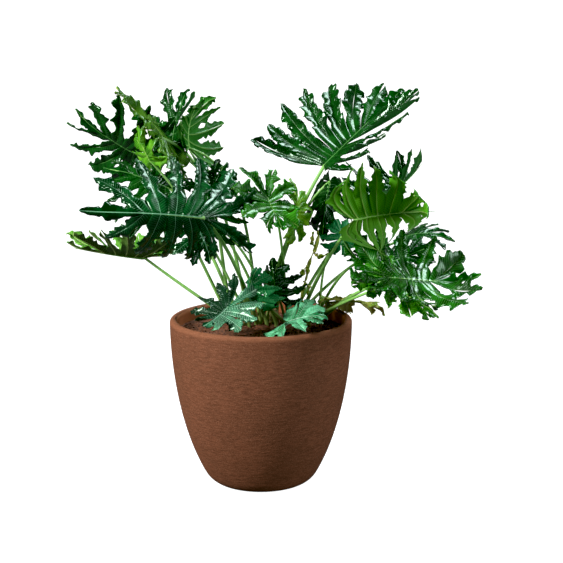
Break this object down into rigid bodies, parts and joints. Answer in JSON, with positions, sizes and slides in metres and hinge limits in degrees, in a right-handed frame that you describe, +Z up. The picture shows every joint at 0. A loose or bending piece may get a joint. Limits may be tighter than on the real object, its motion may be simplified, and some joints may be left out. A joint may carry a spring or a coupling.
{
  "type": "potted lacy tree philodendron",
  "caption": "Bushy house plant with large, deeply cut glossy green leaves on long stalks, in a round matte brown planter filled with soil.",
  "frame": {"origin": "middle of the pot's flat base, on the surface the pot stands on", "axes": "+Z up; +Y away from the viewer of the picture; +X to the picture's right"},
  "size_m": [0.8821, 0.5985, 0.8692],
  "materials": {
    "pot": "matte moulded clay-brown wall with fine combed lines",
    "soil": "dark moist potting soil with bark crumbs",
    "stem": "short ringed crown stem, dull green-brown",
    "leaf": "glossy green blade with pale ribs on a smooth green stalk"
  },
  "bodies": {
    "root": {"leaf_back_right": "leaf", "leaf_back_top": "leaf", "leaf_back_top_right": "leaf", "leaf_big_left": "leaf", "leaf_centre": "leaf", "leaf_centre_yellow": "leaf", "leaf_dark_inner": "leaf", "leaf_far_left": "leaf", "leaf_far_right": "leaf", "leaf_left_back": "leaf", "leaf_left_droop": "leaf", "leaf_left_inner": "leaf", "leaf_left_young": "leaf", "leaf_low_left": "leaf", "leaf_low_mid": "leaf", "leaf_low_right": "leaf", "leaf_right_inner": "leaf", "leaf_right_low": "leaf", "leaf_right_pale": "leaf", "leaf_right_under": "leaf", "leaf_small_dark": "leaf", "leaf_small_right": "leaf", "leaf_top_left": "leaf", "leaf_top_left_olive": "leaf", "leaf_top_mid": "leaf", "leaf_top_right": "leaf", "pot": "pot", "soil": "soil", "stem_left": "stem", "stem_middle": "stem", "stem_right": "stem"}
  },
  "joints": []
}
